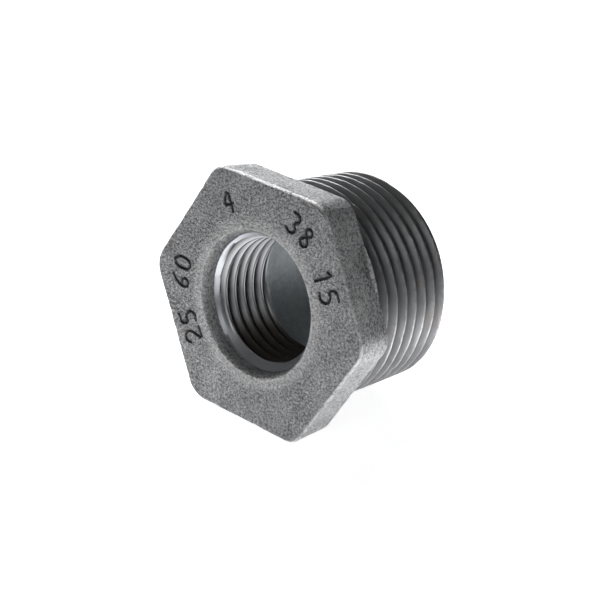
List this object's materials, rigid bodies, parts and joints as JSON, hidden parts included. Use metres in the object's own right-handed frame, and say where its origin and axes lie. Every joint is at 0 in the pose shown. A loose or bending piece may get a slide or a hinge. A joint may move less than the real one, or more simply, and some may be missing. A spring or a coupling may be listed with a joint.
{
  "type": "hex bushing",
  "caption": "Short cast iron pipe reducer: a drafted hexagonal head on a taper threaded shank, with a smaller taper thread inside and a cored hollow behind it.",
  "frame": {"origin": "centre of the hexagonal head's outer face, on the axis of the way through", "axes": "+Y along the axis towards the outside thread's free end, +Z square to two of the head's flats, X through two of its corners"},
  "size_m": [0.0416, 0.025, 0.037],
  "materials": {
    "cast_iron": "black oxide skin on the cast head, bare machined metal on the threads"
  },
  "bodies": {
    "root": {"hex_bushing": "cast_iron"}
  },
  "joints": []
}
